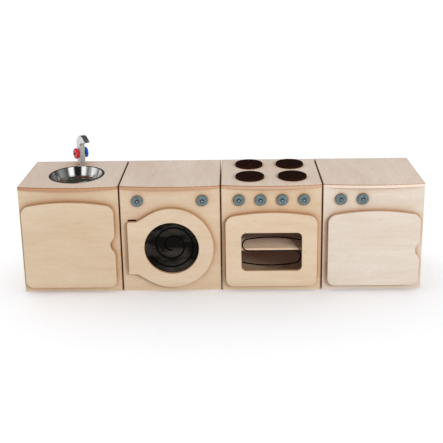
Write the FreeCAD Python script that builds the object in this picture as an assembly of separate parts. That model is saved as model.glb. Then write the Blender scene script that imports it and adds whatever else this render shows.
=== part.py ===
import FreeCAD
import Part
import math
import os
from FreeCAD import Vector

# A wooden toy kitchen: four play cabinets side by side (sink, washing machine, cooker,
# dishwasher), each with a bowed worktop and a left-hung door that stands off the front.
# Millimetres, +Z up, +X along the row, -Y to the front. The origin is at floor level,
# in the middle of the row's width and of its depth, door fronts included.

# ---- driving dimensions ----
UNIT_WIDTH = 398.0
UNIT_GAP = 3.5
HEIGHT = 450.0
DEPTH = 330.0
PLY = 15.0
BACK_PLY = 6.0
TOP_BOW = 16.0            # how far the worktop's front edge bows out at mid width
EDGE_ROUND = 1.5

DOOR_GAP = 5.0            # free space between front panel and door
DOOR_ROUND = 2.5
DOOR_BOTTOM = 22.5
ARCH_RADIUS = 850.0       # curve of the doors' top edges
DOOR_TOP_CORNER = 36.0
DOOR_LOW_CORNER = 31.0
NOTCH_HALF_HEIGHT = 47.0
NOTCH_DEPTH = 18.0
OPENING_CORNER = 20.0

REBATE = 10.0             # how far a window pane reaches past its window
PANE = 3.0
PANE_PLAY = 0.2

HINGE_LENGTH = 50.0
HINGE_LEAF = 1.2
HINGE_REACH = 18.0
HINGE_SCREW_INSET = 10.8  # from the pin line to a leaf's screws
KNUCKLE_ROOM = 3.0        # half width of the space cleared round a knuckle
BARREL_RADIUS = 2.2
PIN_RADIUS = 1.2
TURNING_PLAY = 0.05
END_PLAY = 0.4
KNUCKLE = 16.0

MAGNET_RADIUS = 5.0
MAGNET_THICKNESS = 3.3
STRIKE_THICKNESS = 1.2

HINGE_SCREW = {"shank": 1.5, "head": 3.0}
BACK_SCREW = {"shank": 1.75, "head": 3.5}
BACK_SCREW_LENGTH = 28.0
BACK_SCREW_HEIGHTS = (60.0, 220.0, 400.0)
BASE_SCREW_INSET = 110.0

KNOB_RADIUS = 22.5
KNOB_THICKNESS = 10.0
KNOB_ROUND = 2.5
KNOB_HEIGHT = 387.5
KNOB_PITCH = 85.5
KNOB_FIRST = (UNIT_WIDTH - 3 * KNOB_PITCH) / 2
AIR = 0.3                 # play between faces that turn or slide past each other

SINK_CENTRE = (208.0, 147.5)
BOWL_RIM_RADIUS = 113.5
BOWL_MOUTH_RADIUS = 103.5
BOWL_FLOOR_RADIUS = 89.0
BOWL_DEPTH = 41.0
BOWL_SHEET = 1.0
BOWL_BEND = 8.0           # how far the bend at the bowl's foot reaches
BOWL_HOLE_RADIUS = 106.5

TAP_PLACE = (201.0, 288.0)
TAP_TURN = 33.0           # degrees, how far the spout points right of straight ahead
TAP_THICKNESS = 23.0
TAP_STEM_BACK = -16.5
TAP_STEM_FRONT = 19.5
HOOK_RADIUS = 52.0
HOOK_CENTRE_HEIGHT = 83.0
HOOK_TIP_ANGLE = 35.0     # degrees above level at which the curve of the spout ends
THROAT_HEIGHT = 99.0      # where the spout's underside would meet the stem's front
THROAT_ROUND = 19.0
HANDLE_HEIGHT = 51.0
HANDLE_RADIUS = 22.5
HANDLE_THICKNESS = 11.0
HANDLE_ROUND = 3.0
HANDLE_STANDOFF = 4.5
HANDLE_SHANK_RADIUS = 2.5
HANDLE_SHOULDER_RADIUS = 4.5
HANDLE_HEAD_RADIUS = 5.0
HANDLE_HEAD_HEIGHT = 2.7
SCREW_BITE = 8.0          # how far a handle's screw goes into the spout
STUD_RADIUS = 4.0
STUD_TOP = 22.0
STUD_BELOW = 12.0         # how far the stud shows under the worktop
NUT_RADIUS = 8.0
NUT_HEIGHT = 8.0

HOB_RADIUS = 57.5
HOB_THICKNESS = 9.0
HOB_X = (116.0, 287.0)
HOB_Y = (90.0, 248.0)

SHELF_TOP = 172.0
SHELF_THICKNESS = 9.0
SHELF_FRONT_GAP = 5.0
SHELF_REAR_GAP = 10.0
BATTEN = 15.0
BATTEN_FRONT_GAP = 25.0
BATTEN_REAR_GAP = 20.0

CONNECTOR_RADIUS = 3.5
CONNECTOR_HEAD_RADIUS = 8.0
CONNECTOR_HEAD = 3.0
COLLAR_RADIUS = 9.0

UNITS = ("sink", "washer", "cooker", "dishwasher")
FRONT_OF_DOOR = -(DOOR_GAP + PLY)
UNDER_TOP = HEIGHT - PLY
ROW_LENGTH = len(UNITS) * UNIT_WIDTH + (len(UNITS) - 1) * UNIT_GAP
ROW_SHIFT = Vector(-ROW_LENGTH / 2, -(DEPTH + FRONT_OF_DOOR) / 2, 0)

# Doors, in their own cabinet's coordinates: hinge edge, free edge, crown.
DOORS = {
    "sink": {"left": 10.0, "right": 377.0, "crown": 388.0},
    "cooker": {"left": 15.5, "right": 379.5, "crown": 338.0},
    "dishwasher": {"left": 20.5, "right": 384.5, "crown": 340.5},
}
NOTCH_HEIGHTS = {"sink": 205.0, "dishwasher": 175.0}
OVEN_WINDOW = {"left": 78.0, "right": 319.0, "bottom": 90.0, "top": 253.0}

# The washing machine's round door with its hinge tab.
WASHER_CENTRE = (201.5, 190.5)
WASHER_RADIUS = 168.0
WASHER_WINDOW = 109.0
WASHER_OPENING = 150.0
TAB_LEFT = 27.5
TAB_TOP = 303.0
TAB_BOTTOM = 80.0
TAB_SHOULDER = 63.0       # where the tab's edges turn towards the disc
TAB_CORNER = 6.0
TAB_FILLET = 12.0
TAB_SLIT = 5.0            # how far the panel's opening reaches above the tab

# Openings in the front panels behind the square doors: left, right, bottom, top.
PANEL_OPENINGS = {
    "sink": (36.0, 360.0, 45.0, 360.0),
    "cooker": (42.0, 355.0, 45.0, 308.0),
    "dishwasher": (46.0, 356.0, 45.0, 310.0),
}
HINGE_BOTTOMS = {
    "sink": (70.0, 280.0),
    "washer": (100.0, 230.0),
    "cooker": (65.0, 240.0),
    "dishwasher": (65.0, 240.0),
}
HINGE_X = {
    "sink": DOORS["sink"]["left"],
    "washer": TAB_LEFT,
    "cooker": DOORS["cooker"]["left"],
    "dishwasher": DOORS["dishwasher"]["left"],
}
MAGNETS = {
    "sink": (368.5, 300.0),
    "washer": (WASHER_CENTRE[0] + 159.0, WASHER_CENTRE[1]),
    "cooker": (367.0, 250.0),
    "dishwasher": (370.0, 270.0),
}
KNOBS = {"washer": (0, 3), "cooker": (0, 1, 2, 3), "dishwasher": (0, 1)}


# ---- helpers ----
def box(x0, x1, y0, y1, z0, z1):
    """A block between two corners."""
    return Part.makeBox(x1 - x0, y1 - y0, z1 - z0, Vector(x0, y0, z0))


def rod_x(x0, x1, y, z, radius):
    """A round bar along X."""
    return Part.makeCylinder(radius, x1 - x0, Vector(x0, y, z), Vector(1, 0, 0))


def rod_y(x, y0, y1, z, radius):
    """A round bar or disc along Y."""
    return Part.makeCylinder(radius, y1 - y0, Vector(x, y0, z), Vector(0, 1, 0))


def rod_z(x, y, z0, z1, radius):
    """A round bar or disc along Z."""
    return Part.makeCylinder(radius, z1 - z0, Vector(x, y, z0), Vector(0, 0, 1))


def closed_face(curves):
    """A flat face inside a closed run of curves."""
    return Part.Face(Part.Wire([curve.toShape() for curve in curves]))


def line(a, b):
    return Part.LineSegment(Vector(*a), Vector(*b))


def arc(a, middle, b):
    return Part.Arc(Vector(*a), Vector(*middle), Vector(*b))


def edges_in_plane(solid, axis, value):
    """The edges that lie wholly in the plane axis = value."""
    found = []
    for edge in solid.Edges:
        low = getattr(edge.BoundBox, axis + "Min")
        high = getattr(edge.BoundBox, axis + "Max")
        if abs(low - value) < 1e-4 and abs(high - value) < 1e-4:
            found.append(edge)
    return found


def edge_along_y(solid, x, z):
    """The straight edge along Y nearest to a point of the outline."""
    def distance(edge):
        bounds = edge.BoundBox
        if bounds.XLength > 0.01 or bounds.ZLength > 0.01:
            return math.inf
        return math.hypot(bounds.XMin - x, bounds.ZMin - z)
    return min(solid.Edges, key=distance)


def rounded_block(left, right, bottom, top, y0, y1, corner):
    """A block whose four edges along Y are rounded."""
    block = box(left, right, y0, y1, bottom, top)
    edges = [edge_along_y(block, x, z) for x in (left, right) for z in (bottom, top)]
    return block.makeFillet(corner, edges)


def wood_screw(tip, direction, length, shank, head):
    """A countersunk screw: head face at `tip`, shank running along `direction`."""
    axis = Vector(*direction)
    start = Vector(*tip)
    cone = Part.makeCone(head, shank, head - shank, start, axis)
    stem = Part.makeCylinder(shank, length, start, axis)
    return cone.fuse(stem).removeSplitter()


# ---- cabinet panels ----
def worktop():
    """A top that covers sides and front, with its front edge bowed out."""
    middle = (UNIT_WIDTH / 2, -TOP_BOW, UNDER_TOP)
    corners = [
        (0, 0, UNDER_TOP),
        (UNIT_WIDTH, 0, UNDER_TOP),
        (UNIT_WIDTH, DEPTH, UNDER_TOP),
        (0, DEPTH, UNDER_TOP),
    ]
    outline = [arc(corners[0], middle, corners[1])]
    outline += [line(corners[i], corners[(i + 1) % 4]) for i in (1, 2, 3)]
    slab = closed_face(outline).extrude(Vector(0, 0, PLY))
    return slab.makeFillet(EDGE_ROUND, edges_in_plane(slab, "Z", HEIGHT))


def side(x0):
    """A side panel whose left face is at x0."""
    return box(x0, x0 + PLY, PLY, DEPTH - BACK_PLY, 0, UNDER_TOP)


def base():
    """The floor board between the sides."""
    return box(PLY, UNIT_WIDTH - PLY, PLY, DEPTH - BACK_PLY, 0, PLY)


def back():
    """The thin rear panel, screwed over the rear edges."""
    return box(0, UNIT_WIDTH, DEPTH - BACK_PLY, DEPTH, 0, UNDER_TOP)


def panel_opening(unit):
    """The hole behind a door."""
    if unit == "washer":
        x, z = WASHER_CENTRE
        round_hole = rod_y(x, 0, PLY, z, WASHER_OPENING)
        behind_tab = box(TAB_LEFT + 1, x, 0, PLY, TAB_BOTTOM + 6, TAB_TOP - 2)
        slit = box(TAB_LEFT + 1, TAB_SHOULDER, 0, PLY, z, TAB_TOP + TAB_SLIT)
        return round_hole.fuse([behind_tab, slit]).removeSplitter()
    left, right, bottom, top = PANEL_OPENINGS[unit]
    return rounded_block(left, right, bottom, top, 0, PLY, OPENING_CORNER)


def front_panel(unit):
    """The full-width front, cut out behind the door."""
    board = box(0, UNIT_WIDTH, 0, PLY, 0, UNDER_TOP)
    uprights = [edge for edge in edges_in_plane(board, "Y", 0) if edge.BoundBox.ZLength > 1]
    board = board.makeFillet(EDGE_ROUND, uprights)
    return board.cut(panel_opening(unit))


# ---- doors ----
def notch_cutter(edge_x, centre_z):
    """The finger hollow in a door's free edge: two S-curves of equal arcs."""
    half_angle = math.atan(NOTCH_DEPTH / NOTCH_HALF_HEIGHT)
    turn = 2 * half_angle
    radius = NOTCH_HALF_HEIGHT / (2 * math.sin(turn))
    mid_in = radius * (1 - math.cos(turn / 2))
    mid_up = radius * math.sin(turn / 2)
    y = FRONT_OF_DOOR

    def outer_arc(sign):
        end = (edge_x, y, centre_z + sign * NOTCH_HALF_HEIGHT)
        middle = (edge_x - mid_in, y, centre_z + sign * (NOTCH_HALF_HEIGHT - mid_up))
        start = (edge_x - NOTCH_DEPTH / 2, y, centre_z + sign * NOTCH_HALF_HEIGHT / 2)
        return end, middle, start

    top_end, top_middle, top_start = outer_arc(1)
    low_end, low_middle, low_start = outer_arc(-1)
    deepest = (edge_x - NOTCH_DEPTH, y, centre_z)
    clear = edge_x + NOTCH_DEPTH
    outline = [
        arc(top_end, top_middle, top_start),
        arc(top_start, deepest, low_start),
        arc(low_start, low_middle, low_end),
        line(low_end, (clear, y, low_end[2])),
        line((clear, y, low_end[2]), (clear, y, top_end[2])),
        line((clear, y, top_end[2]), top_end),
    ]
    return closed_face(outline).extrude(Vector(0, PLY, 0))


def arched_door(unit):
    """A flat door with an arched top and rounded corners."""
    size = DOORS[unit]
    left, right, crown = size["left"], size["right"], size["crown"]
    middle = (left + right) / 2
    board = box(left, right, FRONT_OF_DOOR, -DOOR_GAP, DOOR_BOTTOM, crown)
    arch = rod_y(middle, FRONT_OF_DOOR, -DOOR_GAP, crown - ARCH_RADIUS, ARCH_RADIUS)
    board = board.common(arch).removeSplitter()
    half = (right - left) / 2
    shoulder = crown - ARCH_RADIUS + math.sqrt(ARCH_RADIUS ** 2 - half ** 2)
    top_edges = [edge_along_y(board, x, shoulder) for x in (left, right)]
    board = board.makeFillet(DOOR_TOP_CORNER, top_edges)
    low_edges = [edge_along_y(board, x, DOOR_BOTTOM) for x in (left, right)]
    board = board.makeFillet(DOOR_LOW_CORNER, low_edges)
    if unit in NOTCH_HEIGHTS:
        board = board.cut(notch_cutter(right, NOTCH_HEIGHTS[unit]))
    return board


def oven_window_block(grow, y0, y1):
    """The oven window's outline, grown by `grow`, between two planes."""
    w = OVEN_WINDOW
    return rounded_block(w["left"] - grow, w["right"] + grow, w["bottom"] - grow,
                         w["top"] + grow, y0, y1, OPENING_CORNER + grow)


def touch_point(height):
    """Where the straight edge from the tab's shoulder at this height touches the disc."""
    x, z = WASHER_CENTRE
    reach = math.hypot(TAB_SHOULDER - x, height - z)
    towards = math.atan2(height - z, TAB_SHOULDER - x)
    turn = math.copysign(math.acos(WASHER_RADIUS / reach), height - z)
    angle = towards - turn
    return (x + WASHER_RADIUS * math.cos(angle), FRONT_OF_DOOR, z + WASHER_RADIUS * math.sin(angle))


def round_door():
    """The washing machine's disc-shaped door with its hinge tab."""
    x, z = WASHER_CENTRE
    y = FRONT_OF_DOOR
    corners = {h: (TAB_LEFT, y, h) for h in (TAB_BOTTOM, TAB_TOP)}
    shoulders = {h: (TAB_SHOULDER, y, h) for h in (TAB_BOTTOM, TAB_TOP)}
    outline = [
        line(corners[TAB_BOTTOM], shoulders[TAB_BOTTOM]),
        line(shoulders[TAB_BOTTOM], touch_point(TAB_BOTTOM)),
        arc(touch_point(TAB_BOTTOM), (x + WASHER_RADIUS, y, z), touch_point(TAB_TOP)),
        line(touch_point(TAB_TOP), shoulders[TAB_TOP]),
        line(shoulders[TAB_TOP], corners[TAB_TOP]),
        line(corners[TAB_TOP], corners[TAB_BOTTOM]),
    ]
    door = closed_face(outline).extrude(Vector(0, PLY, 0))
    heights = (TAB_BOTTOM, TAB_TOP)
    door = door.makeFillet(TAB_FILLET, [edge_along_y(door, TAB_SHOULDER, h) for h in heights])
    return door.makeFillet(TAB_CORNER, [edge_along_y(door, TAB_LEFT, h) for h in heights])


def door(unit):
    """A finished door: window, rebate for the pane, rounded front edges."""
    if unit == "washer":
        x, z = WASHER_CENTRE
        board = round_door()
        board = board.cut(rod_y(x, FRONT_OF_DOOR, -DOOR_GAP, z, WASHER_WINDOW))
    else:
        board = arched_door(unit)
    if unit == "cooker":
        board = board.cut(oven_window_block(0, FRONT_OF_DOOR, -DOOR_GAP))
    board = board.makeFillet(DOOR_ROUND, edges_in_plane(board, "Y", FRONT_OF_DOOR))
    if unit == "washer":
        board = board.cut(rod_y(x, -DOOR_GAP - PANE, -DOOR_GAP, z, WASHER_WINDOW + REBATE))
    if unit == "cooker":
        board = board.cut(oven_window_block(REBATE, -DOOR_GAP - PANE, -DOOR_GAP))
    return board


def washer_pane():
    x, z = WASHER_CENTRE
    return rod_y(x, -DOOR_GAP - PANE, -DOOR_GAP, z, WASHER_WINDOW + REBATE - PANE_PLAY)


def oven_pane():
    return oven_window_block(REBATE - PANE_PLAY, -DOOR_GAP - PANE, -DOOR_GAP)


# ---- hinges ----
PIN_Y = -DOOR_GAP / 2


def knuckle_room(x, z0, z1):
    """A square column round the pin line, used to clear the knuckles."""
    return box(x - KNUCKLE_ROOM, x + KNUCKLE_ROOM, PIN_Y - KNUCKLE_ROOM, PIN_Y + KNUCKLE_ROOM, z0, z1)


def hinge_screw_heights(z):
    return (z + KNUCKLE / 2, z + HINGE_LENGTH - KNUCKLE / 2)


def fixed_hinge_screws(unit, z):
    """The screws of a hinge's cabinet leaf."""
    x = HINGE_X[unit]
    if unit == "washer":
        head_x = x + BARREL_RADIUS
        return [wood_screw((head_x, PLY / 2, h), (-1, 0, 0), PLY - 2, **HINGE_SCREW)
                for h in hinge_screw_heights(z)]
    return [wood_screw((x + HINGE_SCREW_INSET, -HINGE_LEAF, h), (0, 1, 0), PLY - 3, **HINGE_SCREW)
            for h in hinge_screw_heights(z)]


def door_hinge_screws(unit, z):
    """The screws of a hinge's door leaf."""
    x = HINGE_X[unit] + HINGE_SCREW_INSET
    return [wood_screw((x, -DOOR_GAP + HINGE_LEAF, h), (0, -1, 0), PLY - 4, **HINGE_SCREW)
            for h in hinge_screw_heights(z)]


def fixed_hinge_leaf(unit, z):
    """The leaf on the cabinet with its two outer knuckles."""
    x = HINGE_X[unit]
    top = z + HINGE_LENGTH
    if unit == "washer":
        outer = x + BARREL_RADIUS
        leaf = box(outer - HINGE_LEAF, outer, PIN_Y, PLY - 1, z, top)
    else:
        leaf = box(x, x + HINGE_REACH, -HINGE_LEAF, 0, z, top)
    shape = leaf.fuse(rod_z(x, PIN_Y, z, top, BARREL_RADIUS))
    shape = shape.cut(knuckle_room(x, z + KNUCKLE, top - KNUCKLE))
    shape = shape.cut(rod_z(x, PIN_Y, z, top, PIN_RADIUS))
    for screw in fixed_hinge_screws(unit, z):
        shape = shape.cut(screw)
    return shape.removeSplitter()


def door_hinge_leaf(unit, z):
    """The leaf on the door with its middle knuckle."""
    x = HINGE_X[unit]
    top = z + HINGE_LENGTH
    leaf = box(x, x + HINGE_REACH, -DOOR_GAP, -DOOR_GAP + HINGE_LEAF, z, top)
    shape = leaf.fuse(rod_z(x, PIN_Y, z, top, BARREL_RADIUS))
    shape = shape.cut(knuckle_room(x, z, z + KNUCKLE + END_PLAY))
    shape = shape.cut(knuckle_room(x, top - KNUCKLE - END_PLAY, top))
    shape = shape.cut(rod_z(x, PIN_Y, z, top, PIN_RADIUS + TURNING_PLAY))
    for screw in door_hinge_screws(unit, z):
        shape = shape.cut(screw)
    return shape.removeSplitter()


def hinge_pin(unit, z):
    return rod_z(HINGE_X[unit], PIN_Y, z, z + HINGE_LENGTH, PIN_RADIUS)


def magnet(unit):
    """The door magnet, on the front panel."""
    x, z = MAGNETS[unit]
    return rod_y(x, -MAGNET_THICKNESS, 0, z, MAGNET_RADIUS)


def strike_disc(unit):
    """The steel disc on the door that the magnet pulls."""
    x, z = MAGNETS[unit]
    return rod_y(x, -DOOR_GAP, -DOOR_GAP + STRIKE_THICKNESS, z, MAGNET_RADIUS)


# ---- knobs ----
KNOB_BACK = -AIR
KNOB_FACE = KNOB_BACK - KNOB_THICKNESS
RING_BACK = KNOB_FACE - AIR
RING_FACE = RING_BACK - 1.0
RING_RADIUS = 7.5
SHANK_RADIUS = 2.25
SCREW_HEAD_RADIUS = 4.5
SCREW_FACE = RING_FACE - 3.0
SCREW_HEAD_ROUND = 2.0
SLOT_DEPTH = 1.0
SLOT_LONG = 2.5           # half length and half width of the cross slot
SLOT_NARROW = 0.5


def knob_x(index):
    return KNOB_FIRST + index * KNOB_PITCH


def knob(x):
    """A round knob with a softly rounded face, bored for its screw."""
    disc = rod_y(x, KNOB_FACE, KNOB_BACK, KNOB_HEIGHT, KNOB_RADIUS)
    disc = disc.makeFillet(KNOB_ROUND, edges_in_plane(disc, "Y", KNOB_FACE))
    return disc.cut(rod_y(x, KNOB_FACE, KNOB_BACK, KNOB_HEIGHT, SHANK_RADIUS + TURNING_PLAY))


def knob_washer(x):
    """The flat ring under the screw head."""
    ring = rod_y(x, RING_FACE, RING_BACK, KNOB_HEIGHT, RING_RADIUS)
    return ring.cut(rod_y(x, RING_FACE, RING_BACK, KNOB_HEIGHT, SHANK_RADIUS))


def knob_screw(x):
    """The pan-head screw that the knob turns on."""
    head = rod_y(x, SCREW_FACE, RING_FACE, KNOB_HEIGHT, SCREW_HEAD_RADIUS)
    head = head.makeFillet(SCREW_HEAD_ROUND, edges_in_plane(head, "Y", SCREW_FACE))
    for wide, tall in ((SLOT_LONG, SLOT_NARROW), (SLOT_NARROW, SLOT_LONG)):
        head = head.cut(box(x - wide, x + wide, SCREW_FACE, SCREW_FACE + SLOT_DEPTH,
                            KNOB_HEIGHT - tall, KNOB_HEIGHT + tall))
    shank = rod_y(x, RING_FACE, PLY - 3, KNOB_HEIGHT, SHANK_RADIUS)
    return head.fuse(shank).removeSplitter()


# ---- sink and tap ----
def sink_bowl():
    """A pressed sheet bowl: flat floor, slightly sloping wall, rim that rests on the top."""
    lip = BOWL_RIM_RADIUS - BOWL_SHEET / 2
    floor = HEIGHT + BOWL_SHEET - BOWL_DEPTH
    inner_floor = BOWL_FLOOR_RADIUS
    slope = math.atan2(BOWL_MOUTH_RADIUS - inner_floor, BOWL_DEPTH)
    knee = (inner_floor + BOWL_BEND * math.tan(slope) * 0.5, floor + BOWL_BEND)

    def section(offset):
        """Points of the sheet's upper (offset 0) or lower face, from rim to centre."""
        return [
            (BOWL_MOUTH_RADIUS + offset, HEIGHT + BOWL_SHEET - offset),
            (knee[0] + offset, knee[1] - offset * 0.3),
            (inner_floor - BOWL_BEND + offset * 0.3, floor - offset),
            (0, floor - offset),
        ]

    top = section(0)
    low = section(BOWL_SHEET)
    rim_top = (lip, HEIGHT + BOWL_SHEET)
    rim_edge = (BOWL_RIM_RADIUS, HEIGHT + BOWL_SHEET / 2)
    rim_low = (lip, HEIGHT)

    def at(point):
        return (point[0], 0, point[1])

    def corner_arc(a, corner, b):
        """A bend from a to b that bulges towards their common corner."""
        middle = tuple(0.25 * p + 0.5 * c + 0.25 * q for p, c, q in zip(a, corner, b))
        return arc(at(a), at(middle), at(b))

    outline = [
        line(at(top[3]), at(top[2])),
        corner_arc(top[2], (inner_floor, floor), top[1]),
        line(at(top[1]), at(top[0])),
        line(at(top[0]), at(rim_top)),
        arc(at(rim_top), at(rim_edge), at(rim_low)),
        line(at(rim_low), at(low[0])),
        line(at(low[0]), at(low[1])),
        corner_arc(low[1], (inner_floor + BOWL_SHEET, floor - BOWL_SHEET), low[2]),
        line(at(low[2]), at(low[3])),
        line(at(low[3]), at(top[3])),
    ]
    face = closed_face(outline)
    bowl = face.revolve(Vector(0, 0, 0), Vector(0, 0, 1), 360)
    bowl.translate(Vector(SINK_CENTRE[0], SINK_CENTRE[1], 0))
    return bowl


def bowl_hole():
    x, y = SINK_CENTRE
    return rod_z(x, y, UNDER_TOP, HEIGHT, BOWL_HOLE_RADIUS)


def hook_point(degrees):
    """A point of the spout's outer curve, in its own plane: forward, up."""
    angle = math.radians(degrees)
    forward = TAP_STEM_BACK + HOOK_RADIUS + HOOK_RADIUS * math.cos(angle)
    return (forward, 0, HOOK_CENTRE_HEIGHT + HOOK_RADIUS * math.sin(angle))


def tap_placed(shape):
    """Turn a shape from the spout's plane (forward = +X) and stand it on the worktop."""
    shape.rotate(Vector(0, 0, 0), Vector(0, 0, 1), TAP_TURN - 90)
    shape.translate(Vector(TAP_PLACE[0], TAP_PLACE[1], HEIGHT))
    return shape


def tap_body():
    """The spout: a stem that bends forward into a hooked nose, cut from thick stock."""
    foot_back = (TAP_STEM_BACK, 0, AIR)
    foot_front = (TAP_STEM_FRONT, 0, AIR)
    throat = (TAP_STEM_FRONT, 0, THROAT_HEIGHT)
    shoulder = hook_point(180)
    tip = hook_point(HOOK_TIP_ANGLE)
    outline = [
        line(foot_front, foot_back),
        line(foot_back, shoulder),
        arc(shoulder, hook_point(110), tip),
        line(tip, throat),
        line(throat, foot_front),
    ]
    half = TAP_THICKNESS / 2
    plate = closed_face(outline).extrude(Vector(0, TAP_THICKNESS, 0))
    plate.translate(Vector(0, -half, 0))
    plate = plate.makeFillet(THROAT_ROUND, [edge_along_y(plate, TAP_STEM_FRONT, THROAT_HEIGHT)])
    for side_y in (-half, half):
        plate = plate.makeFillet(EDGE_ROUND, edges_in_plane(plate, "Y", side_y))
    return plate


def tap_stud():
    """The threaded stud glued in the spout's foot, passing down through the worktop."""
    return rod_z(0, 0, -PLY - STUD_BELOW, STUD_TOP, STUD_RADIUS)


def tap_nut():
    """The lock nut under the worktop, on the stud."""
    top = -PLY - AIR
    bottom = top - NUT_HEIGHT
    angles = [math.radians(60 * i) for i in range(6)]
    corners = [Vector(NUT_RADIUS * math.cos(a), NUT_RADIUS * math.sin(a), bottom) for a in angles]
    hexagon = Part.Face(Part.makePolygon(corners + corners[:1]))
    nut = hexagon.extrude(Vector(0, 0, NUT_HEIGHT))
    return nut.cut(rod_z(0, 0, bottom, top, STUD_RADIUS))


def handle_screw(sign):
    """The shouldered screw that a tap handle turns on; sign picks the side."""
    half = TAP_THICKNESS / 2
    inner = half + HANDLE_STANDOFF
    outer = inner + HANDLE_THICKNESS
    direction = Vector(0, sign, 0)

    def bar(start, end, radius):
        return Part.makeCylinder(radius, end - start, Vector(0, sign * start, HANDLE_HEIGHT), direction)

    head_face = outer + AIR + HANDLE_HEAD_HEIGHT
    head = bar(outer + AIR, head_face, HANDLE_HEAD_RADIUS)
    head = head.makeFillet(EDGE_ROUND, edges_in_plane(head, "Y", sign * head_face))
    shoulder = bar(half, inner - AIR, HANDLE_SHOULDER_RADIUS)
    screw = bar(half - SCREW_BITE, outer + AIR, HANDLE_SHANK_RADIUS)
    return screw.fuse([shoulder, head]).removeSplitter()


def tap_handle(sign):
    """A round tap handle, rounded on both faces."""
    inner = TAP_THICKNESS / 2 + HANDLE_STANDOFF
    start = inner if sign > 0 else -inner - HANDLE_THICKNESS
    disc = rod_y(0, start, start + HANDLE_THICKNESS, HANDLE_HEIGHT, HANDLE_RADIUS)
    for face in (start, start + HANDLE_THICKNESS):
        disc = disc.makeFillet(HANDLE_ROUND, edges_in_plane(disc, "Y", face))
    bore = HANDLE_SHANK_RADIUS + TURNING_PLAY
    return disc.cut(rod_y(0, start, start + HANDLE_THICKNESS, HANDLE_HEIGHT, bore))


# ---- hob and oven ----
def hob_plate(x, y):
    """A cooking plate: a thick round disc with a softened rim."""
    disc = rod_z(x, y, HEIGHT, HEIGHT + HOB_THICKNESS, HOB_RADIUS)
    return disc.makeFillet(EDGE_ROUND, edges_in_plane(disc, "Z", HEIGHT + HOB_THICKNESS))


def oven_shelf():
    rear = DEPTH - BACK_PLY - SHELF_REAR_GAP
    return box(PLY, UNIT_WIDTH - PLY, PLY + SHELF_FRONT_GAP, rear,
               SHELF_TOP - SHELF_THICKNESS, SHELF_TOP)


def shelf_battens():
    """The two strips under the ends of the oven shelf."""
    top = SHELF_TOP - SHELF_THICKNESS
    starts = (PLY, UNIT_WIDTH - PLY - BATTEN)
    front = PLY + BATTEN_FRONT_GAP
    rear = DEPTH - BACK_PLY - BATTEN_REAR_GAP
    return [box(x, x + BATTEN, front, rear, top - BATTEN, top) for x in starts]


# ---- screws that hold the cabinets together ----
def back_screw_places():
    """Where the back panel is screwed: up both sides and along the base."""
    half = PLY / 2
    places = [(x, z) for x in (half, UNIT_WIDTH - half) for z in BACK_SCREW_HEIGHTS]
    return places + [(x, half) for x in (BASE_SCREW_INSET, UNIT_WIDTH - BASE_SCREW_INSET)]


def back_screws():
    return [wood_screw((x, DEPTH, z), (0, -1, 0), BACK_SCREW_LENGTH, **BACK_SCREW)
            for x, z in back_screw_places()]


def connector(y, z):
    """A connecting screw with a head in each cabinet and a collar between the two sides."""
    inside = PLY + CONNECTOR_HEAD
    shank = rod_x(-inside, UNIT_GAP + inside, y, z, CONNECTOR_RADIUS)
    collar = rod_x(0, UNIT_GAP, y, z, COLLAR_RADIUS)
    heads = [rod_x(x, x + CONNECTOR_HEAD, y, z, CONNECTOR_HEAD_RADIUS)
             for x in (-inside, UNIT_GAP + PLY)]
    return shank.fuse([collar] + heads).removeSplitter()


CONNECTOR_PLACES = [(y, z) for y in (60.0, 270.0) for z in (70.0, 395.0)]


# ---- assembly ----
def export(name, solids):
    """Write one named node, shifted to the row's own origin."""
    shape = solids[0] if len(solids) == 1 else Part.makeCompound(solids)
    shape = shape.copy()
    shape.translate(ROW_SHIFT)
    for solid in shape.Solids:
        if not solid.isValid():
            print("invalid solid in", name)
    shape.exportStep("parts/%s.step" % name)


def moved(shape, dx):
    """A copy of the shape, dx further along the row."""
    copy = shape.copy()
    copy.translate(Vector(dx, 0, 0))
    return copy


def less(shape, tools):
    for tool in tools:
        shape = shape.cut(tool)
    return shape


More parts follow.
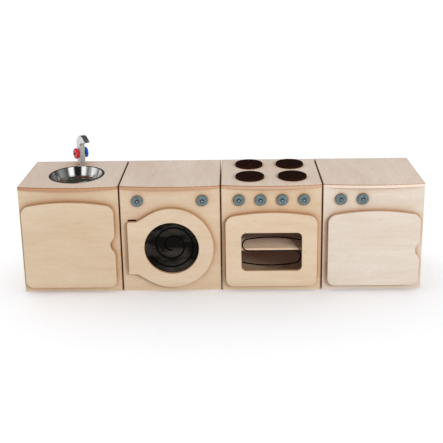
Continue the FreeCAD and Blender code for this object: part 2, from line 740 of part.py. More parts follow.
def build_unit(unit, dx, shared):
    """Write the nodes of one cabinet and add its small fittings to the shared groups."""
    leaf_screws = [s for z in HINGE_BOTTOMS[unit] for s in fixed_hinge_screws(unit, z)]
    door_screws = [s for z in HINGE_BOTTOMS[unit] for s in door_hinge_screws(unit, z)]
    knob_places = [knob_x(i) for i in KNOBS.get(unit, ())]
    knob_screws = [knob_screw(x) for x in knob_places]
    rear_screws = back_screws()

    top = worktop()
    if unit == "sink":
        top = top.cut(bowl_hole())
        top = top.cut(rod_z(TAP_PLACE[0], TAP_PLACE[1], UNDER_TOP, HEIGHT,
                            STUD_RADIUS + TURNING_PLAY))

    left_holes = [connector(y, z) for y, z in CONNECTOR_PLACES] if dx > 0 else []
    right_holes = [connector(y, z) for y, z in CONNECTOR_PLACES] if unit != UNITS[-1] else []
    left_holes = [moved(hole, -UNIT_GAP) for hole in left_holes]
    right_holes = [moved(hole, UNIT_WIDTH) for hole in right_holes]
    cores = {
        "worktop": top,
        "left_side": less(side(0), rear_screws + left_holes),
        "right_side": less(side(UNIT_WIDTH - PLY), rear_screws + right_holes),
        "base": less(base(), rear_screws),
        "back": less(back(), rear_screws),
        "front_panel": less(front_panel(unit), leaf_screws + knob_screws),
        "door": less(door(unit), door_screws),
    }
    for piece, shape in cores.items():
        export("%s_%s" % (unit, piece), [moved(shape, dx)])

    fittings = [door_hinge_leaf(unit, z) for z in HINGE_BOTTOMS[unit]]
    fittings += door_screws + [strike_disc(unit)]
    export("%s_door_fittings" % unit, [moved(s, dx) for s in fittings])
    for number, x in enumerate(knob_places, start=1):
        export("%s_knob_%d" % (unit, number), [moved(knob(x), dx)])

    shared["hinge_cabinet_leaves"] += [moved(fixed_hinge_leaf(unit, z), dx)
                                       for z in HINGE_BOTTOMS[unit]]
    shared["hinge_pins"] += [moved(hinge_pin(unit, z), dx) for z in HINGE_BOTTOMS[unit]]
    shared["hinge_screws"] += [moved(s, dx) for s in leaf_screws]
    shared["door_magnets"].append(moved(magnet(unit), dx))
    shared["knob_screws"] += [moved(s, dx) for s in knob_screws]
    shared["knob_washers"] += [moved(knob_washer(x), dx) for x in knob_places]
    shared["back_screws"] += [moved(s, dx) for s in rear_screws]
    if unit != UNITS[-1]:
        shared["unit_connectors"] += [moved(connector(y, z), dx + UNIT_WIDTH)
                                      for y, z in CONNECTOR_PLACES]


def build_tap(dx):
    stud = tap_placed(tap_stud())
    screws = [tap_placed(handle_screw(sign)) for sign in (1, -1)]
    body = less(tap_placed(tap_body()), [stud] + screws)
    export("tap_spout", [moved(body, dx)])
    export("tap_stud", [moved(stud, dx)])
    export("tap_nut", [moved(tap_placed(tap_nut()), dx)])
    export("tap_handle_screws", [moved(s, dx) for s in screws])
    export("tap_handle_cold", [moved(tap_placed(tap_handle(1)), dx)])
    export("tap_handle_hot", [moved(tap_placed(tap_handle(-1)), dx)])


def main():
    os.makedirs("parts", exist_ok=True)
    names = ("hinge_cabinet_leaves", "hinge_pins", "hinge_screws", "door_magnets", "knob_screws",
             "knob_washers", "back_screws", "unit_connectors")
    shared = {name: [] for name in names}
    offsets = {unit: i * (UNIT_WIDTH + UNIT_GAP) for i, unit in enumerate(UNITS)}
    for unit, dx in offsets.items():
        build_unit(unit, dx, shared)
    for name, solids in shared.items():
        export(name, solids)
    build_tap(offsets["sink"])
    export("sink_bowl", [moved(sink_bowl(), offsets["sink"])])
    export("washer_window", [moved(washer_pane(), offsets["washer"])])
    dx = offsets["cooker"]
    export("oven_window", [moved(oven_pane(), dx)])
    export("hob_plates", [moved(hob_plate(x, y), dx) for x in HOB_X for y in HOB_Y])
    export("oven_shelf", [moved(oven_shelf(), dx)])
    export("oven_shelf_battens", [moved(s, dx) for s in shelf_battens()])


main()
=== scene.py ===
"""Looks of the toy kitchen: birch plywood, painted knobs, polished sink and tap, smoked panes."""

import math

import bpy
from mathutils import Euler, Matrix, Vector


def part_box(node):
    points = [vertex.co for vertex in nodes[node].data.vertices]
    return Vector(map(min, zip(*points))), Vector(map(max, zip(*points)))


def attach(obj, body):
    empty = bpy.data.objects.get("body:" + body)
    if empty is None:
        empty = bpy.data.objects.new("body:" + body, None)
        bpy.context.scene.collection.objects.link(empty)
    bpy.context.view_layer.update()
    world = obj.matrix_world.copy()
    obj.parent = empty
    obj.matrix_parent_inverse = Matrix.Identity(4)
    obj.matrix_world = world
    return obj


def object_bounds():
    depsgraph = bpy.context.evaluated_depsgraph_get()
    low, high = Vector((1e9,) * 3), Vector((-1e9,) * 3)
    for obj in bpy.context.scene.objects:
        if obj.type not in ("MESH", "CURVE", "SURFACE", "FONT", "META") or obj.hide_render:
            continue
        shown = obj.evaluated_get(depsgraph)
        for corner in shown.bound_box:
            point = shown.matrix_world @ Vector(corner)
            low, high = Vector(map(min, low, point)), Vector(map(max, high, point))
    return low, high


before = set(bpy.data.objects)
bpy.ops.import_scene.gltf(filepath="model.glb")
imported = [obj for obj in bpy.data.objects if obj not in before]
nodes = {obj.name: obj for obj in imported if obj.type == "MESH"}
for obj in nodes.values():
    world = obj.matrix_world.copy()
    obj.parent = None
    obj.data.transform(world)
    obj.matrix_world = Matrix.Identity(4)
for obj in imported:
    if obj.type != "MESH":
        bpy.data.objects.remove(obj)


def box_as_lists():
    """The shown object's box as two plain lists."""
    return [[float(c) for c in corner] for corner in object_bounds()]


cad_box = box_as_lists()

UNITS = ("sink", "washer", "cooker", "dishwasher")
BLACK = (0.0, 0.0, 0.0)
WHITE = (1.0, 1.0, 1.0)


# ---- small node-building helpers ----
class Nodes:
    """Short calls that add nodes to one node tree and link them."""

    def __init__(self, tree):
        """Start with the tree that the nodes go into."""
        self.tree = tree

    def add(self, kind, inputs=None, **settings):
        """A node of that kind; inputs maps a socket's name or number to a value or a socket."""
        node = self.tree.nodes.new(kind)
        for key, value in settings.items():
            setattr(node, key, value)
        for socket, value in (inputs or {}).items():
            self.set(node, socket, value)
        return node

    def set(self, node, socket, value):
        """Link another socket to a node's socket, or give it a plain value."""
        if isinstance(value, bpy.types.NodeSocket):
            self.tree.links.new(value, node.inputs[socket])
        else:
            node.inputs[socket].default_value = value

    def math(self, operation, a, b=0.0, clamp=False):
        """One arithmetic operation on a and b."""
        node = self.add("ShaderNodeMath", {0: a, 1: b}, operation=operation, use_clamp=clamp)
        return node.outputs[0]

    def scaled(self, value, factor, offset=0.0):
        """The value times a factor plus an offset."""
        node = self.add("ShaderNodeMath", {0: value, 1: factor, 2: offset}, operation="MULTIPLY_ADD")
        return node.outputs[0]

    def mapped(self, value, low, high):
        """The value's place between low and high, from 0 to 1."""
        node = self.add("ShaderNodeMapRange", {"Value": value, "From Min": low, "From Max": high})
        return node.outputs[0]

    def ramp(self, factor, stops):
        """A colour ramp; stops are (position, colour)."""
        node = self.add("ShaderNodeValToRGB", {"Fac": factor})
        ramp = node.color_ramp
        while len(ramp.elements) < len(stops):
            ramp.elements.new(0.5)
        for element, (position, colour) in zip(ramp.elements, stops):
            element.position = position
            element.color = (*colour, 1.0)
        return node.outputs["Color"]

    def fade(self, value, full, gone):
        """White where the value is full, black where it is gone, and even in between."""
        return self.ramp(value, sorted([(full, WHITE), (gone, BLACK)]))

    def mix(self, factor, a, b, blend="MIX"):
        """Colour a blended with colour b by a factor."""
        node = self.add("ShaderNodeMix", data_type="RGBA", blend_type=blend)
        self.set(node, 0, factor)
        self.set(node, 6, a if isinstance(a, bpy.types.NodeSocket) else (*a, 1.0))
        self.set(node, 7, b if isinstance(b, bpy.types.NodeSocket) else (*b, 1.0))
        return node.outputs[2]

    def noise(self, vector, scale, detail=3.0, roughness=0.5, distortion=0.0):
        """Soft random values around one half."""
        node = self.add("ShaderNodeTexNoise", {
            "Vector": vector, "Scale": scale, "Detail": detail,
            "Roughness": roughness, "Distortion": distortion,
        })
        return node.outputs["Fac"]

    def coordinates(self):
        """Places on the object, in metres."""
        return self.add("ShaderNodeTexCoord").outputs["Object"]

    def stretched_coordinates(self, scale):
        """Places on the object, scaled by its own factor along each of X, Y and Z."""
        node = self.add("ShaderNodeMapping", {"Vector": self.coordinates(), "Scale": scale})
        return node.outputs[0]


class Material(Nodes):
    """A new material with a Principled shader."""

    def __init__(self, name):
        """Make the material under this name."""
        self.material = bpy.data.materials.new(name)
        self.material.use_nodes = True
        super().__init__(self.material.node_tree)
        self.shader = self.tree.nodes["Principled BSDF"]

    def surface(self, values):
        """Values or sockets for the shader's own sockets."""
        for socket, value in values.items():
            self.set(self.shader, socket, value)

    def bump(self, height, strength, distance):
        """Fine relief from a height."""
        node = self.add("ShaderNodeBump", {
            "Height": height, "Strength": strength, "Distance": distance,
        })
        self.set(self.shader, "Normal", node.outputs["Normal"])


def paint(obj, made):
    """Give an object one material."""
    obj.data.materials.clear()
    obj.data.materials.append(made.material)


def srgb(r, g, b):
    """A colour from 0-255 screen values to the renderer's linear values."""
    return tuple(((c / 255 + 0.055) / 1.055) ** 2.4 if c > 10 else c / 255 / 12.92 for c in (r, g, b))


# ---- birch plywood ----
AXES = {"X": 0, "Y": 1, "Z": 2}
PLIES = 5.5                     # light and dark veneer pairs across one board
BACK_PLIES = 2.5
SHELF_PLIES = 3.5
FACE_PALE = srgb(208, 191, 169)
FACE_WARM = srgb(195, 173, 147)
FLECK = srgb(168, 134, 100)
EDGE_LIGHT = srgb(196, 150, 104)
EDGE_DARK = srgb(150, 100, 58)
GLUE_LINE = srgb(84, 50, 26)
SKIN = srgb(136, 88, 46)
SKIN_DEPTH = 0.005              # the darker top veneers of a worktop's edge
SKIN_BLEND = 0.0005
LAYER_WANDER = 0.12             # how far a veneer strays, as a share of a pair's thickness
END_GRAIN_STRENGTH = 0.35
EDGE_FACING = (0.55, 0.80)      # a surface is edge below the first facing, face above the second
CREVICE_PAINTED_SHADE = srgb(222, 155, 20)    # painted shade: a warm darkening where boards stand close together
CREVICE_REACH = 0.05
CREVICE_STRENGTH = 1.05
CREVICE_OPENNESS = (0.10, 0.95) # full painted shade at the first share of open space, none at the second
CREVICE_GROWTH = 18.0           # how fast that painted shade sets in above the floor, to a metre
SEAM_PAINTED_SHADE = srgb(92, 62, 40)         # painted shade: a dark tone in gaps narrower than the one behind a door
SEAM_REACH = 0.009
SEAM_OPENNESS = (0.16, 0.30)
SHADE_SAMPLES = 8
ARRIS_PAINTED_SHADE = srgb(138, 98, 68)       # painted shade on edges beside a gap between cabinets, so the gap looks wider
ARRIS_WIDTH = 0.0022
CLOUD_SHARE, STREAK_SHARE, FIGURE_SHARE = 0.48, 0.17, 0.35
FINE_STRENGTH = 0.10
ROUGHNESS = 0.38                # of the face, with what streaks, edges and hollows add to it
STREAK_ROUGHNESS = 0.16
EDGE_ROUGHNESS = 0.35
HOLLOW_ROUGHNESS = 0.5

# Each grain pattern: how often it repeats to a metre along, across and through the sheet,
# a shift that sets it apart from the others, and its detail, roughness and distortion.
GRAIN = {
    "cloud": ((1.6, 5.0, 3.0), 0.0, (3.0, 0.55, 0.3)),
    "streaks": ((4.0, 110.0, 60.0), 5.0, (4.0, 0.6, 0.2)),
    "figure": ((6.0, 24.0, 10.0), 9.0, (3.0, 0.5, 0.8)),
    "fine": ((90.0, 1500.0, 900.0), 3.0, (2.0, 0.5, 0.0)),
    "pores": ((55.0, 900.0, 500.0), 13.0, (1.0, 0.4, 0.0)),
    "wander": ((14.0, 14.0, 0.0), 21.0, (1.0, 0.5, 0.0)),
    "end_grain": ((700.0, 700.0, 160.0), 31.0, (2.0, 0.5, 0.0)),
}


class BirchPly(Material):
    """Lacquered birch plywood for one board, whose sheet faces one axis with its grain along another."""

    def __init__(self, node, sheet_axis, grain_axis, seed):
        """Start with the board's frame node, its two directions and a seed for its grain."""
        super().__init__("ply_" + node)
        self.seed = seed
        self.sheet = AXES[sheet_axis]
        self.places = self.add("ShaderNodeSeparateXYZ", {0: self.coordinates()}).outputs
        across_axis = ({"X", "Y", "Z"} - {sheet_axis, grain_axis}).pop()
        self.along = self.places[AXES[grain_axis]]
        self.across = self.places[AXES[across_axis]]
        self.depth = self.places[self.sheet]
        low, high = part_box(node)
        self.low, self.high = low[self.sheet], high[self.sheet]

    def grain(self, pattern):
        """One of the grain patterns, shifted by the board's seed."""
        (along, across, through), shift, character = GRAIN[pattern]
        place = self.add("ShaderNodeCombineXYZ", {
            0: self.scaled(self.along, along, self.seed * 1.37 + shift),
            1: self.scaled(self.across, across),
            2: self.scaled(self.depth, through, self.seed * 2.71 + shift),
        }).outputs[0]
        return self.noise(place, 1.0, *character)

    def face(self, streaks, fine, pores):
        """The sheet's face: slow clouds, streaks and figure, with small dark flecks."""
        cloud, figure = self.grain("cloud"), self.grain("figure")
        tone = self.math("ADD", self.scaled(cloud, CLOUD_SHARE), self.scaled(streaks, STREAK_SHARE))
        tone = self.math("ADD", tone, self.scaled(figure, FIGURE_SHARE))
        colour = self.ramp(tone, [(0.32, FACE_WARM), (0.66, FACE_PALE)])
        flecks = self.ramp(pores, [(0.66, BLACK), (0.74, (0.55, 0.55, 0.55))])
        colour = self.mix(flecks, colour, FLECK)
        return self.mix(self.scaled(fine, FINE_STRENGTH), colour, FACE_WARM, "MULTIPLY")

    def edge(self, plies, fade, skin):
        """The sheet's edge: light and dark veneers with glue lines, faded towards the face's colour."""
        layer = self.scaled(self.math("SUBTRACT", self.depth, self.low), plies / (self.high - self.low))
        wander = self.scaled(self.grain("wander"), LAYER_WANDER)
        layer = self.math("FRACT", self.math("ADD", layer, wander))
        colour = self.ramp(layer, [
            (0.00, GLUE_LINE), (0.07, EDGE_LIGHT), (0.46, EDGE_LIGHT),
            (0.52, GLUE_LINE), (0.58, EDGE_DARK), (0.94, EDGE_DARK), (1.00, GLUE_LINE),
        ])
        end_grain = self.scaled(self.grain("end_grain"), END_GRAIN_STRENGTH)
        colour = self.mix(end_grain, colour, GLUE_LINE)
        colour = self.mix(fade, colour, FACE_PALE)
        if skin:
            above = self.math("SUBTRACT", self.depth, self.high - SKIN_DEPTH)
            colour = self.mix(self.fade(above, SKIN_BLEND, 0.0), colour, SKIN)
        return colour

    def openness(self, reach):
        """The share of the space within reach that nothing fills."""
        node = self.add("ShaderNodeAmbientOcclusion", {"Distance": reach}, samples=SHADE_SAMPLES)
        return node.outputs["AO"]

    def hollow(self):
        """How enclosed a place is, leaving out what only the floor encloses."""
        enclosed = self.fade(self.openness(CREVICE_REACH), *CREVICE_OPENNESS)
        above_floor = self.math("MULTIPLY", self.places["Z"], CREVICE_GROWTH, clamp=True)
        return self.math("MULTIPLY", enclosed, above_floor)

    def finish(self, tint=WHITE, plies=PLIES, edge_fade=0.0, crevice_shade=CREVICE_STRENGTH, skin=False,
               arrises=()):
        """Put face, edge and painted shade tones together; arrises are the X places of ends darkened with
        painted shade.
        """
        streaks, fine, pores = self.grain("streaks"), self.grain("fine"), self.grain("pores")
        normal = self.add("ShaderNodeTexCoord").outputs["Normal"]
        facing = self.add("ShaderNodeSeparateXYZ", {0: normal}).outputs[self.sheet]
        on_edge = self.fade(self.math("ABSOLUTE", facing), *EDGE_FACING)
        colour = self.mix(on_edge, self.face(streaks, fine, pores), self.edge(plies, edge_fade, skin))
        # the board's tint, which is painted light on the worktops and the dishwasher
        colour = self.mix(1.0, colour, tint, "MULTIPLY")
        # painted shade: a warm darkening where boards stand close together, by how enclosed each place is
        hollow = self.hollow()
        colour = self.mix(self.math("MULTIPLY", hollow, crevice_shade, clamp=True), colour, CREVICE_PAINTED_SHADE, "MULTIPLY")
        # painted shade: a dark tone in gaps narrower than the one behind a door
        seam_shade = self.fade(self.openness(SEAM_REACH), *SEAM_OPENNESS)
        colour = self.mix(seam_shade, colour, SEAM_PAINTED_SHADE, "MULTIPLY")
        # painted shade on the ends beside a gap between cabinets
        for end in arrises:
            from_end = self.math("ABSOLUTE", self.math("SUBTRACT", self.places["X"], end))
            colour = self.mix(self.fade(from_end, 0.0, ARRIS_WIDTH), colour, ARRIS_PAINTED_SHADE, "MULTIPLY")
        dullness = self.math("ADD", self.scaled(streaks, STREAK_ROUGHNESS, ROUGHNESS),
                             self.scaled(on_edge, EDGE_ROUGHNESS))
        dullness = self.math("ADD", dullness, self.scaled(hollow, HOLLOW_ROUGHNESS), clamp=True)
        self.surface({"Base Color": colour, "Roughness": dullness, "Specular IOR Level": 0.0})
        relief = self.math("ADD", self.scaled(fine, 0.5), self.scaled(pores, -0.6))
        self.bump(relief, strength=0.12, distance=0.0004)
        return self


# Each board's sheet direction and grain direction, by the last part of its node's name.
BOARDS = {
    "worktop": ("Z", "Y"),
    "front_panel": ("Y", "X"),
    "door": ("Y", "X"),
    "left_side": ("X", "Z"),
    "right_side": ("X", "Z"),
    "base": ("Z", "X"),
    "back": ("Y", "Z"),
}
# Tints for each cabinet's boards; the dishwasher's is painted light, a paler, whiter tone for the light
# that falls from the right.
UNIT_TINTS_AND_PAINTED_LIGHT = {
    "sink": (1.0, 0.99, 0.96),
    "washer": (1.0, 0.99, 0.97),
    "cooker": (1.0, 0.985, 0.955),
    "dishwasher": (1.04, 1.15, 1.34),
}
# painted light: the worktops are paler and bluer than the fronts, for sheen and the light from above
WORKTOP_PAINTED_LIGHT = (1.15, 1.21, 1.37)
WORKTOP_EDGE_FADES = {"sink": 0.1, "washer": 0.18, "cooker": 0.3, "dishwasher": 0.85}
DOOR_EDGE_FADE = 0.7
SHELF_EDGE_FADE = 0.9
SHELF_CREVICE_SHADE = 0.2


def inner_ends(node):
    """The X places of a board's ends that stand beside another cabinet."""
    row_end = cad_box[1][0]
    low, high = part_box(node)
    return [x for x in (low.x, high.x) if abs(x) < row_end - ARRIS_WIDTH]


def board_material(node, seed, unit, kind):
    """The plywood of one cabinet board."""
    made = BirchPly(node, *BOARDS[kind], seed)
    if kind == "worktop":
        return made.finish(WORKTOP_PAINTED_LIGHT, edge_fade=WORKTOP_EDGE_FADES[unit], skin=True,
                           arrises=inner_ends(node))
    if kind == "front_panel":
        return made.finish(UNIT_TINTS_AND_PAINTED_LIGHT[unit], arrises=inner_ends(node))
    if kind == "door":
        return made.finish(UNIT_TINTS_AND_PAINTED_LIGHT[unit], edge_fade=DOOR_EDGE_FADE)
    return made.finish(UNIT_TINTS_AND_PAINTED_LIGHT[unit], plies=BACK_PLIES if kind == "back" else PLIES)


def dress_boards():
    """Plywood on every board, each with its own grain."""
    seed = 0
    for unit in UNITS:
        for kind in BOARDS:
            seed += 1
            node = "%s_%s" % (unit, kind)
            paint(nodes[node], board_material(node, seed, unit, kind))
    for node in ("oven_shelf", "oven_shelf_battens"):
        seed += 1
        made = BirchPly(node, "Z", "X", seed)
        paint(nodes[node], made.finish(plies=SHELF_PLIES, edge_fade=SHELF_EDGE_FADE,
                                       crevice_shade=SHELF_CREVICE_SHADE))


# ---- plain materials ----
METAL_MARKS = (0.55, 0.55, 0.55)
# lighter patches on the panes: painted reflections
PANE_PAINTED_REFLECTION = (0.10, 0.085, 0.07)


def speckled_paint():
    """Satin blue-grey knob finish with a fine mottle."""
    made = Material("knob_paint")
    mottle = made.noise(made.coordinates(), scale=420.0, detail=3.0, roughness=0.65)
    cloud = made.noise(made.coordinates(), scale=90.0, detail=2.0)
    colour = made.ramp(mottle, [
        (0.36, srgb(40, 50, 52)), (0.52, srgb(92, 110, 113)), (0.66, srgb(124, 146, 146)),
    ])
    colour = made.mix(made.scaled(cloud, 0.35), colour, srgb(76, 94, 98))
    made.surface({"Base Color": colour, "Roughness": 0.42})
    made.bump(mottle, strength=0.25, distance=0.0005)
    return made


def polished_metal(name, colour, roughness, scratch):
    """Bright metal with faint polishing marks, which add up to scratch to its roughness."""
    made = Material(name)
    marks = made.noise(made.stretched_coordinates((60, 60, 900)), scale=1.0, detail=3.0)
    made.surface({
        "Base Color": made.mix(made.scaled(marks, 0.12), colour, METAL_MARKS),
        "Metallic": 1.0,
        "Roughness": made.scaled(marks, scratch, roughness),
    })
    return made


def gloss_paint(name, colour, shade):
    """Glossy lacquer over a turned wooden disc, clouded with a darker shade."""
    made = Material(name)
    cloud = made.noise(made.coordinates(), scale=60.0, detail=3.0)
    ripple = made.noise(made.coordinates(), scale=300.0, detail=2.0)
    made.surface({
        "Base Color": made.mix(made.math("MULTIPLY", cloud, 0.5), colour, shade),
        "Roughness": 0.22,
        "Specular IOR Level": 0.3,
        "Coat Weight": 0.1,
        "Coat Roughness": 0.1,
    })
    made.bump(ripple, strength=0.05, distance=0.0005)
    return made


def stained_wood():
    """Dark brown stained hob plates with fine grain."""
    made = Material("hob_stain")
    grain = made.noise(made.stretched_coordinates((30, 420, 120)), scale=1.0, detail=4.0,
                       roughness=0.6, distortion=0.3)
    made.surface({
        "Base Color": made.ramp(grain, [(0.30, srgb(20, 8, 4)), (0.70, srgb(52, 24, 13))]),
        "Roughness": 0.6,
        "Specular IOR Level": 0.08,
    })
    made.bump(grain, strength=0.2, distance=0.0004)
    return made


def tinted_pane(name, colour, see_through, painted_reflection, gloss):
    """Smoked acrylic: a tinted film that lets some light through, with lighter patches painted in as
    reflections.
    """
    made = Material(name)
    patches = made.noise(made.stretched_coordinates((9, 9, 22)), scale=1.0, detail=3.0)
    patches = made.fade(patches, 0.66, 0.40)
    made.surface({
        "Base Color": made.mix(made.scaled(patches, painted_reflection), colour, PANE_PAINTED_REFLECTION),
        "Roughness": 0.15,
        "Specular IOR Level": gloss,
        "Alpha": 1.0 - see_through,
    })
    return made


def speckled_dark(name, scale, dark, light, roughness, gloss):
    """A nearly black finish with a fine speckle."""
    made = Material(name)
    speckle = made.noise(made.coordinates(), scale, detail=2.0)
    made.surface({
        "Base Color": made.mix(speckle, dark, light),
        "Roughness": roughness,
        "Specular IOR Level": gloss,
    })
    return made


def dress_fittings():
    """Painted, polished and dark finishes on everything that isn't a board."""
    zinc = polished_metal("zinc", (0.78, 0.78, 0.78), roughness=0.22, scratch=0.12)
    bronze = polished_metal("hinge_bronze", (0.22, 0.17, 0.12), roughness=0.35, scratch=0.2)
    dark = speckled_dark("dark_metal", 900.0, (0.008, 0.008, 0.008), (0.024, 0.025, 0.025),
                         roughness=0.5, gloss=0.2)
    knob = speckled_paint()
    worn = polished_metal("worn_steel", (0.42, 0.42, 0.41), roughness=0.34, scratch=0.12)
    bowl = polished_metal("bowl_steel", (0.80, 0.80, 0.77), roughness=0.09, scratch=0.05)
    tap = polished_metal("tap_metal", (0.78, 0.79, 0.78), roughness=0.46, scratch=0.12)
    red = gloss_paint("red_lacquer", srgb(222, 20, 34), srgb(180, 8, 20))
    blue = gloss_paint("blue_lacquer", srgb(4, 92, 186), srgb(2, 66, 146))
    stain = stained_wood()
    dark_pane = tinted_pane("dark_pane", (0.004, 0.0032, 0.0026),
                            see_through=0.02, painted_reflection=0.36, gloss=0.035)
    smoked_pane = tinted_pane("smoked_pane", (0.15, 0.06, 0.04),
                              see_through=0.89, painted_reflection=0.3, gloss=0.15)
    finishes = {
        "hinge_screws": zinc,
        "back_screws": zinc,
        "unit_connectors": zinc,
        "tap_stud": zinc,
        "tap_nut": zinc,
        "knob_screws": worn,
        "hinge_cabinet_leaves": bronze,
        "hinge_pins": bronze,
        "door_magnets": dark,
        "knob_washers": dark,
        "tap_handle_screws": dark,
        "sink_bowl": bowl,
        "tap_spout": tap,
        "tap_handle_hot": red,
        "tap_handle_cold": blue,
        "hob_plates": stain,
        "washer_window": dark_pane,
        "oven_window": smoked_pane,
    }
    for name in nodes:
        if "_knob_" in name:
            finishes[name] = knob
        if name.endswith("_door_fittings"):
            finishes[name] = bronze
    for name, made in finishes.items():
        paint(nodes[name], made)


# ---- new objects ----
def add_object(name, data):
    """A new object in the scene."""
    obj = bpy.data.objects.new(name, data)
    bpy.context.scene.collection.objects.link(obj)
    return obj


def add_mesh(name, vertices, faces):
    """A new object with a mesh of its own."""
    mesh = bpy.data.meshes.new(name)
    mesh.from_pydata(vertices, [], faces)
    mesh.update()
    return add_object(name, mesh)


# ---- the lines on the two panes ----
LINE_THICKNESS = 0.0004
SPIRAL_WIDTH = 0.0068
SPIRAL_SHIFT = (0.003, 0.010)           # right of and above the middle of the washer's window
SPIRAL_RADII = (0.020, 0.098)
SPIRAL_TURNS = 2.17
SPIRAL_STEPS = 150
WINDING_WIDTH = 0.0055
WINDING_MARGIN = 0.004
WINDING_HEIGHTS = (0.82, 0.51, 0.18)    # its three runs, as shares of the opening's height
WINDING_BULGE = 0.013
WINDING_DROP = 0.35                     # share of the bulge by which a bulging run's ends fall back
WINDING_STEPS = 24
OVEN_REBATE = 0.010                     # what the oven's door covers of its window on each side


def ribbon(name, path, width, front_y):
    """A flat raised line of even width along points (x, z), lying on a pane that faces -Y."""
    vertices, faces = [], []
    half = width / 2
    last = len(path) - 1
    for i, (x, z) in enumerate(path):
        before, after = path[max(i - 1, 0)], path[min(i + 1, last)]
        direction = Vector((after[0] - before[0], after[1] - before[1])).normalized()
        side = Vector((-direction.y, direction.x)) * half
        for y in (front_y, front_y - LINE_THICKNESS):
            vertices.append((x + side.x, y, z + side.y))
            vertices.append((x - side.x, y, z - side.y))
    for i in range(last):
        a, b = 4 * i, 4 * i + 4
        for p, q in ((0, 1), (1, 3), (3, 2), (2, 0)):
            faces.append((a + p, a + q, b + q, b + p))
    end = 4 * last
    faces.append((0, 2, 3, 1))
    faces.append((end, end + 1, end + 3, end + 2))
    return add_mesh(name, vertices, faces)


def spiral_path(centre, start_radius, end_radius, turns, steps):
    """An even spiral, winding outwards clockwise from below the centre."""
    points = []
    for i in range(steps + 1):
        share = i / steps
        angle = -math.pi / 2 - share * turns * 2 * math.pi
        radius = start_radius + (end_radius - start_radius) * share
        points.append((centre[0] + radius * math.cos(angle), centre[1] + radius * math.sin(angle)))
    return points


def winding_path(left, right, top, middle, bottom, bulge, steps):
    """A heating-element line: an arched run, a turn, a straight run, a turn, a sagging run."""
    span = right - left
    upper_turn = (top - middle) / 2
    lower_turn = (middle - bottom) / 2

    def run(x_from, x_to, z, rise):
        """A run from one x to another that rises towards the middle."""
        points = []
        for i in range(steps + 1):
            share = i / steps
            x = x_from + (x_to - x_from) * share
            along = (x - left) / span
            points.append((x, z + rise * (4 * along * (1 - along) - WINDING_DROP)))
        return points

    def turn(x, z_from, z_to, outwards):
        """A half circle from one height down to another."""
        z_mid, radius = (z_from + z_to) / 2, (z_from - z_to) / 2
        points = []
        for i in range(1, steps):
            angle = math.pi / 2 - math.pi * i / steps
            points.append((x + outwards * radius * math.cos(angle), z_mid + radius * math.sin(angle)))
        return points

    upper_run = run(right, left + upper_turn, top, bulge)
    middle_run = run(left + upper_turn, right - lower_turn, middle, 0.0)
    lower_run = run(right - lower_turn, left, bottom, -bulge)
    first_turn = turn(left + upper_turn, upper_run[-1][1], middle, -1)
    second_turn = turn(right - lower_turn, middle, lower_run[0][1], 1)
    return upper_run + first_turn + middle_run + second_turn + lower_run


def add_spiral(line):
    """The washing machine's spiral, on its window."""
    low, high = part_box("washer_window")
    centre = (low.x + high.x) / 2 + SPIRAL_SHIFT[0], (low.z + high.z) / 2 + SPIRAL_SHIFT[1]
    path = spiral_path(centre, *SPIRAL_RADII, SPIRAL_TURNS, SPIRAL_STEPS)
    spiral = ribbon("washer_spiral", path, SPIRAL_WIDTH, low.y)
    paint(spiral, line)
    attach(spiral, "washer_door")


def add_winding(line):
    """The oven's heating-element line, on its window."""
    low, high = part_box("oven_window")
    left, right = low.x + OVEN_REBATE, high.x - OVEN_REBATE
    bottom, top = low.z + OVEN_REBATE, high.z - OVEN_REBATE
    heights = [bottom + share * (top - bottom) for share in WINDING_HEIGHTS]
    path = winding_path(left + WINDING_MARGIN, right - WINDING_MARGIN, *heights,
                        WINDING_BULGE, WINDING_STEPS)
    winding = ribbon("oven_element_line", path, WINDING_WIDTH, low.y)
    paint(winding, line)
    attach(winding, "cooker_door")


def add_pane_lines():
    """The black lines on the panes of the washing machine and the oven."""
    line = speckled_dark("black_line", 700.0, (0.0015, 0.0015, 0.0015), (0.004, 0.004, 0.004),
                         roughness=0.6, gloss=0.0)
    add_spiral(line)
    add_winding(line)


# ---- room, light and camera ----
FLOOR_REACH = 40.0
AMBIENT = (0.76, 0.76, 0.78)            # what lights the room from all around
CEILING = (0.05, 0.05, 0.04)            # what mirrors see high up
CEILING_FROM, CEILING_TO = 0.45, 0.7    # the height of a direction where the ceiling starts and is full
KEY_PLACE = (3.8, -4.8, 2.95)
KEY_TARGET = (0.0, 0.0, 0.3)
KEY_SIDE = 1.5
KEY_POWER = 248.0
KEY_COLOUR = (1.0, 0.985, 0.97)
SKY_DIRECTION = (0.25, -0.35, -1.0)
SKY_POWER = 0.85
SKY_SPREAD = 80                         # degrees
OVEN_LIGHT_PLACE = (1.3, -3.0, 2.05)
OVEN_LIGHT_SIDE = 0.5
OVEN_LIGHTS = {"oven_shelf": 118.0, "cooker_base": 24.0, "cooker_back": 8.0}
CAMERA_PLACE = (0.0535, -3.0078, 1.4532)
CAMERA_TURNS = (-0.902, 14.545, -0.90)  # to the right, downwards and round the axis, in degrees
CAMERA_LENS = 62.44
CAMERA_SENSOR = 36.0
CAMERA_SHIFT = -0.229
CAMERA_SIGHT = 200.0

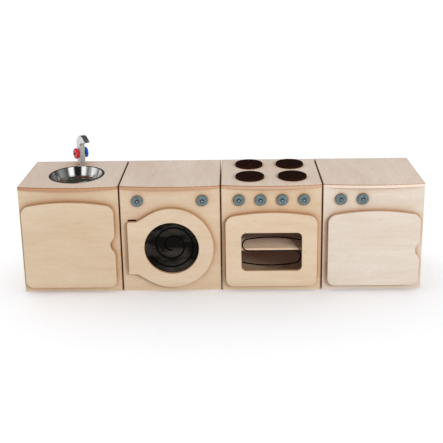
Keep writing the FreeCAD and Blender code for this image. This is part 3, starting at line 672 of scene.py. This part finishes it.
# The studio that mirrors see: its grey in each direction round the horizon, from the front (0)
# by the left (0.25), the back (0.5) and the right (0.75) to the front again.
# The places and greys were worked out from brightness read off the photograph, across
# the sink bowl's back wall, so this list is not a studio of the builder's own design.
STUDIO_GREYS = [
    (0.000, 0.01), (0.030, 0.01), (0.044, 1.20), (0.088, 1.10), (0.105, 0.45), (0.127, 0.10),
    (0.145, 0.38), (0.170, 0.38), (0.188, 1.00), (0.233, 0.95), (0.268, 0.60), (0.290, 0.20),
    (0.330, 0.65), (0.380, 0.05), (0.640, 0.05), (0.690, 0.12), (0.733, 0.34), (0.795, 0.20),
    (0.845, 0.05), (0.870, 1.20), (0.922, 1.20), (0.938, 0.01),
]


def add_floor():
    """A large plain floor, wide enough to fill every view."""
    r = FLOOR_REACH
    floor = add_mesh("floor", [(-r, -r, 0), (r, -r, 0), (r, r, 0), (-r, r, 0)], [(0, 1, 2, 3)])
    made = Material("floor_white")
    patches = made.math("MULTIPLY", made.noise(made.coordinates(), scale=3.0, detail=2.0), 0.1)
    made.surface({
        "Base Color": made.mix(patches, (0.89, 0.90, 0.91), (0.87, 0.88, 0.89)),
        "Roughness": 0.7,
        "Specular IOR Level": 0.1,
        "Emission Color": (1.0, 1.0, 1.0, 1.0),
        "Emission Strength": 0.15,
    })
    paint(floor, made)
    return floor


def add_world():
    """White surroundings; mirrors see a studio of bright boxes and dark gaps instead."""
    world = bpy.data.worlds.new("studio")
    bpy.context.scene.world = world
    world.use_nodes = True
    world.node_tree.nodes.clear()
    made = Nodes(world.node_tree)
    direction = made.add("ShaderNodeTexCoord").outputs["Generated"]
    parts = made.add("ShaderNodeSeparateXYZ", {0: direction}).outputs
    turn = made.math("ARCTAN2", parts["X"], parts["Y"])
    boxes = made.ramp(made.mapped(turn, -math.pi, math.pi),
                      [(place, (grey, grey, grey)) for place, grey in STUDIO_GREYS])
    studio = made.mix(made.mapped(parts["Z"], CEILING_FROM, CEILING_TO), boxes, CEILING)
    rays = made.add("ShaderNodeLightPath").outputs
    plain = made.mix(rays["Is Camera Ray"], AMBIENT, WHITE)
    seen = made.mix(rays["Is Glossy Ray"], plain, studio)
    background = made.add("ShaderNodeBackground", {"Color": seen, "Strength": 1.0})
    made.add("ShaderNodeOutputWorld", {"Surface": background.outputs[0]})


def aim(obj, direction):
    """Turn a light so that it shines along a direction."""
    obj.rotation_euler = direction.to_track_quat("-Z", "Y").to_euler()


def add_area_light(name, place, target, side, power):
    """A square light at a place, shining at a target."""
    data = bpy.data.lights.new(name, "AREA")
    data.shape = "RECTANGLE"
    data.size = data.size_y = side
    data.energy = power
    light = add_object(name, data)
    light.location = place
    aim(light, Vector(target) - Vector(place))
    return light


def link_light(light, obj, state):
    """Let a light reach this object only (INCLUDE) or every other object (EXCLUDE)."""
    linked = bpy.data.collections.new(light.name + "_link")
    linked.objects.link(obj)
    light.light_linking.receiver_collection = linked
    linked.collection_objects[0].light_linking.link_state = state


def add_lights(floor):
    """A soft key light from the right that no mirror shows, which leaves the floor alone so that
    the surroundings stay white, a light for the floor, and lights for what the oven window shows."""
    key = add_area_light("key_right", KEY_PLACE, KEY_TARGET, KEY_SIDE, KEY_POWER)
    key.data.color = KEY_COLOUR
    key.visible_glossy = False
    link_light(key, floor, "EXCLUDE")

    data = bpy.data.lights.new("floor_sky", "SUN")
    data.energy = SKY_POWER
    data.angle = math.radians(SKY_SPREAD)
    sky = add_object("floor_sky", data)
    aim(sky, Vector(SKY_DIRECTION))
    link_light(sky, floor, "INCLUDE")

    shelf_low, shelf_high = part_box("oven_shelf")
    shelf_middle = (shelf_low + shelf_high) / 2
    for lit, power in OVEN_LIGHTS.items():
        fill = add_area_light("fill_" + lit, OVEN_LIGHT_PLACE, shelf_middle, OVEN_LIGHT_SIDE, power)
        link_light(fill, nodes[lit], "INCLUDE")


def add_camera():
    """A view from the front, slightly right of the row's middle, looking down from above its height."""
    data = bpy.data.cameras.new("camera")
    data.sensor_width = CAMERA_SENSOR
    data.lens = CAMERA_LENS
    data.shift_y = CAMERA_SHIFT
    data.clip_end = CAMERA_SIGHT
    camera = add_object("camera", data)
    camera.location = CAMERA_PLACE
    yaw, pitch, roll = (math.radians(angle) for angle in CAMERA_TURNS)
    level = math.cos(pitch)
    forward = Vector((math.sin(yaw) * level, math.cos(yaw) * level, -math.sin(pitch)))
    look = forward.to_track_quat("-Z", "Y")
    camera.rotation_mode = "QUATERNION"
    camera.rotation_quaternion = look @ Euler((0, 0, roll)).to_quaternion()
    bpy.context.scene.camera = camera


def set_tone():
    """Plain colour handling, so that white surroundings stay white."""
    bpy.context.scene.view_settings.view_transform = "Standard"


dress_boards()
dress_fittings()
add_pane_lines()
stage_floor = add_floor()
add_world()
add_lights(stage_floor)
add_camera()
set_tone()
